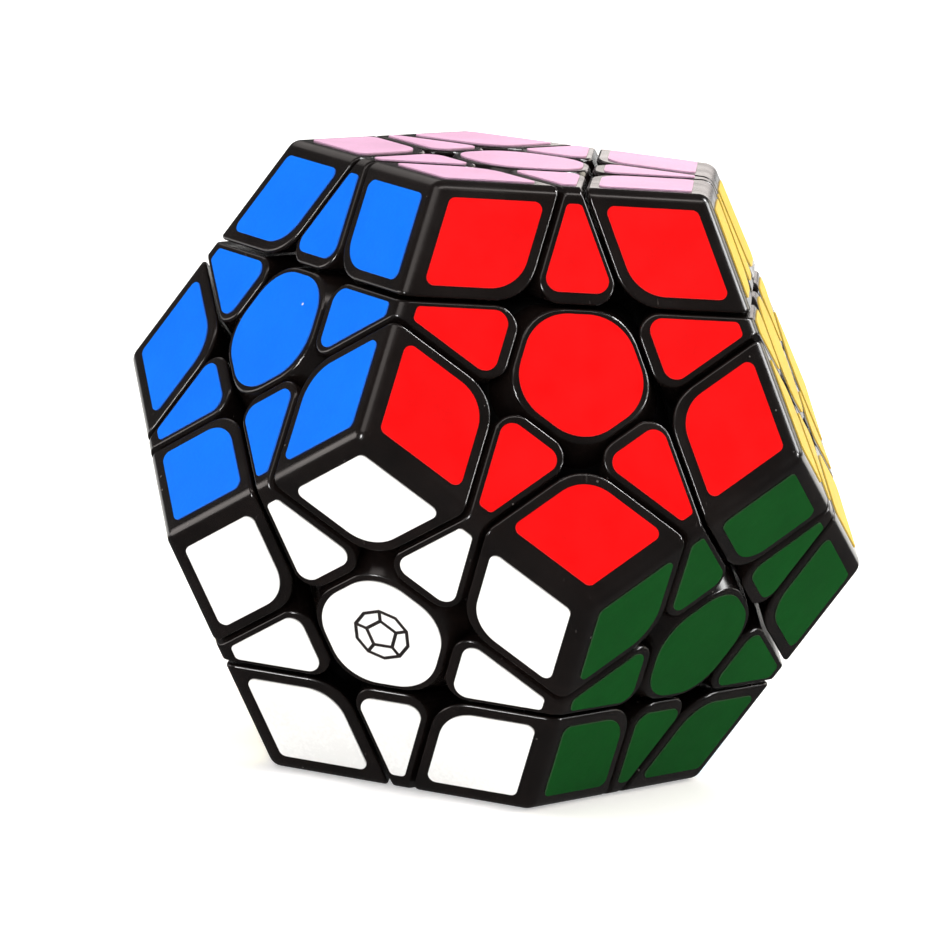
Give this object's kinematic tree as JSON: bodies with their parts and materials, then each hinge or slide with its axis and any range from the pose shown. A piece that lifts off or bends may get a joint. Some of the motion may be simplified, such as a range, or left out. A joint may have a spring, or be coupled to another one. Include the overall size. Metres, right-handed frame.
{
  "type": "dodecahedron twisty puzzle",
  "caption": "Twelve-sided twisty puzzle of black plastic with a differently coloured sticker set on each pentagonal face, and layers that turn about the face axes.",
  "frame": {"origin": "centre of the core, which is the centre of the whole body", "axes": "+Z out of the pink face; the red face's outward direction lies over -Y; the part rests on its purple face, the lowest, whose plane is normal to Z"},
  "size_m": [0.0832, 0.0872, 0.0716],
  "materials": {
    "black_plastic": "satin black moulded plastic",
    "black_inner": "matt black moulded plastic",
    "core_nylon": "natural nylon",
    "zinc_steel": "bright zinc plate",
    "spring_steel": "drawn spring wire",
    "sticker_pink": "pale pink vinyl film",
    "sticker_red": "bright red vinyl film",
    "sticker_yellow": "golden yellow vinyl film",
    "sticker_grey": "mid grey vinyl film",
    "sticker_lime": "light green vinyl film",
    "sticker_blue": "bright blue vinyl film",
    "sticker_green": "dark green vinyl film",
    "sticker_sky": "light blue vinyl film",
    "sticker_orange": "orange vinyl film",
    "sticker_cream": "pale cream vinyl film",
    "sticker_white": "white vinyl film",
    "sticker_purple": "purple vinyl film"
  },
  "bodies": {
    "frame": {"core": "core_nylon", "frame_centre_caps": "black_plastic", "frame_centre_hubs": "black_inner", "frame_corner_feet": "black_inner", "frame_corner_shells": "black_plastic", "frame_edge_feet": "black_inner", "frame_edge_shells": "black_plastic", "screws": "zinc_steel", "springs": "spring_steel", "stickers_frame_blue": "sticker_blue", "stickers_frame_cream": "sticker_cream", "stickers_frame_green": "sticker_green", "stickers_frame_grey": "sticker_grey", "stickers_frame_lime": "sticker_lime", "stickers_frame_orange": "sticker_orange", "stickers_frame_purple": "sticker_purple", "stickers_frame_red": "sticker_red", "stickers_frame_yellow": "sticker_yellow", "washers": "zinc_steel"},
    "pink_layer": {"pink_centre_caps": "black_plastic", "pink_centre_hubs": "black_inner", "pink_corner_feet": "black_inner", "pink_corner_shells": "black_plastic", "pink_edge_feet": "black_inner", "pink_edge_shells": "black_plastic", "stickers_pink_blue": "sticker_blue", "stickers_pink_grey": "sticker_grey", "stickers_pink_lime": "sticker_lime", "stickers_pink_pink": "sticker_pink", "stickers_pink_red": "sticker_red", "stickers_pink_yellow": "sticker_yellow"},
    "white_layer": {"stickers_white_blue": "sticker_blue", "stickers_white_cream": "sticker_cream", "stickers_white_green": "sticker_green", "stickers_white_purple": "sticker_purple", "stickers_white_red": "sticker_red", "stickers_white_white": "sticker_white", "white_centre_caps": "black_plastic", "white_centre_hubs": "black_inner", "white_corner_feet": "black_inner", "white_corner_shells": "black_plastic", "white_edge_feet": "black_inner", "white_edge_shells": "black_plastic"},
    "sky_layer": {"sky_centre_caps": "black_plastic", "sky_centre_hubs": "black_inner", "sky_corner_feet": "black_inner", "sky_corner_shells": "black_plastic", "sky_edge_feet": "black_inner", "sky_edge_shells": "black_plastic", "stickers_sky_green": "sticker_green", "stickers_sky_grey": "sticker_grey", "stickers_sky_orange": "sticker_orange", "stickers_sky_purple": "sticker_purple", "stickers_sky_sky": "sticker_sky", "stickers_sky_yellow": "sticker_yellow"}
  },
  "joints": [
    {"name": "pink_turn", "type": "hinge", "parent": "frame", "child": "pink_layer", "pos_m": [0, 0, 0], "axis": [0, 0, 1], "continuous": true},
    {"name": "white_turn", "type": "hinge", "parent": "frame", "child": "white_layer", "pos_m": [0, 0, 0], "axis": [-0.5257, -0.7236, -0.4472], "continuous": true},
    {"name": "sky_turn", "type": "hinge", "parent": "frame", "child": "sky_layer", "pos_m": [0, 0, 0], "axis": [0.8507, 0.2764, -0.4472], "continuous": true}
  ]
}
